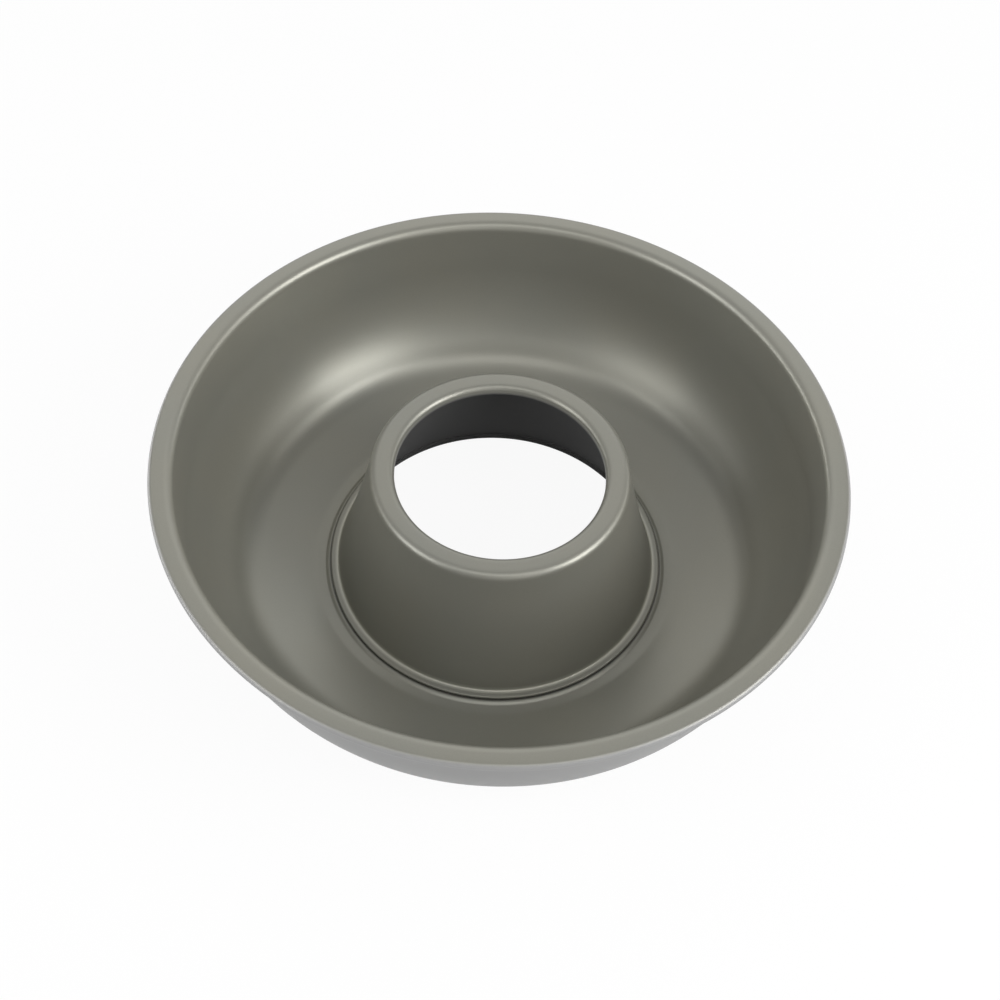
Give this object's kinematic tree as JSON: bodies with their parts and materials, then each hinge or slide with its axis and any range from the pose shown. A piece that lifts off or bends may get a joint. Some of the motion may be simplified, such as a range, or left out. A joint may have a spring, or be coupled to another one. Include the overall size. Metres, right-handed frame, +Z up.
{
  "type": "angel food cake pan",
  "caption": "Round ring cake pan of coated sheet steel, with a curved outer wall, a flanged rolled rim and an open conical centre tube seamed to its base.",
  "frame": {"origin": "on the pan's axis, on the surface that the pan stands on", "axes": "+Z up along the pan's axis, out of its open side; -Y towards the viewer of the picture"},
  "size_m": [0.28, 0.28, 0.0752],
  "materials": {
    "body_coating": "satin non-stick coating with a fine metallic fleck, warm grey inside and neutral grey outside",
    "tube_coating": "satin non-stick coating with a fine metallic fleck, warm grey outside and neutral grey inside"
  },
  "bodies": {
    "root": {"pan_body": "body_coating", "centre_tube": "tube_coating"}
  },
  "joints": []
}
